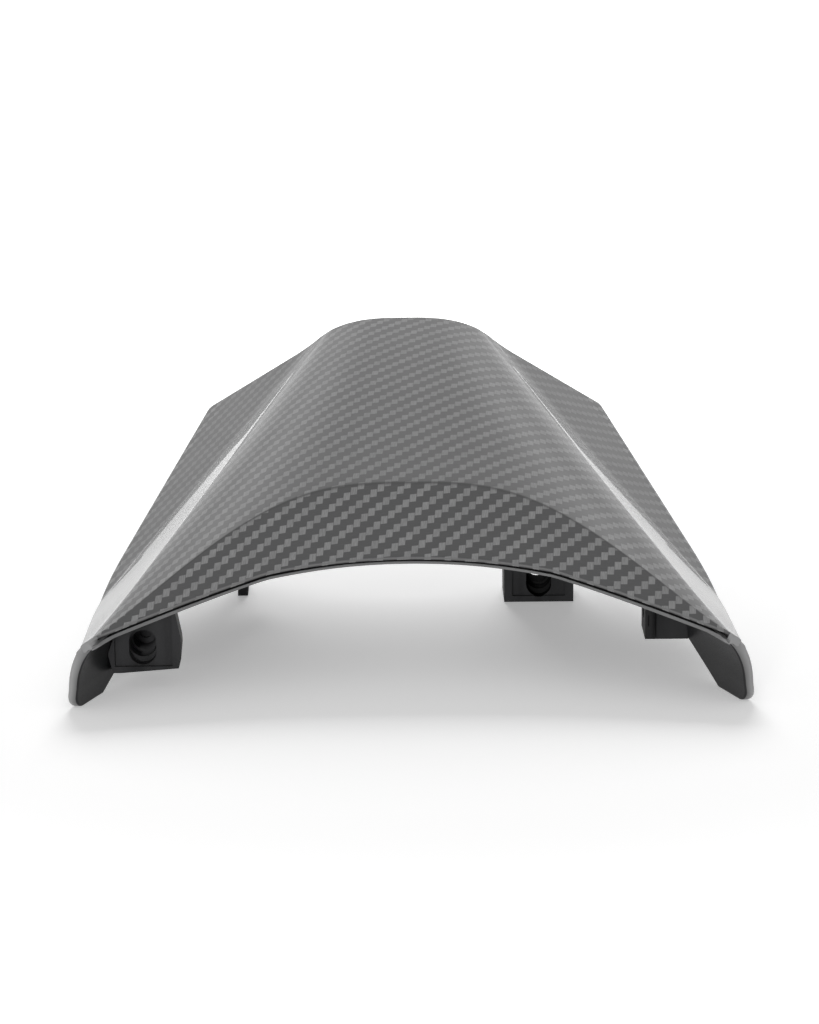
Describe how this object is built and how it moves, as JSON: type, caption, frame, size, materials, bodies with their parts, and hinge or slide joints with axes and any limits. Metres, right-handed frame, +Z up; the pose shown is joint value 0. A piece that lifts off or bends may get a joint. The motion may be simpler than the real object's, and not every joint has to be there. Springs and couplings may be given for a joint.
{
  "type": "motorcycle headlight cover",
  "caption": "Arched carbon-look shell that covers a motorcycle headlight from above, with a bevelled curved front edge, flat side wings, short skirts and screw-on legs underneath.",
  "frame": {"origin": "middle of the overall box, on the plane that the skirts and the rear legs stand on", "axes": "+X to the right in the view from the front, +Y from the arched front edge to the tail, +Z up"},
  "size_m": [0.2438, 0.226, 0.0953],
  "materials": {
    "carbon_shell": "twill carbon print under a clear gloss coat",
    "leg_plastic": "black satin moulded plastic"
  },
  "bodies": {
    "root": {"cover_shell": "carbon_shell", "front_left_bracket": "leg_plastic", "front_right_bracket": "leg_plastic", "rear_right_bracket": "leg_plastic", "rear_left_bracket": "leg_plastic"}
  },
  "joints": []
}
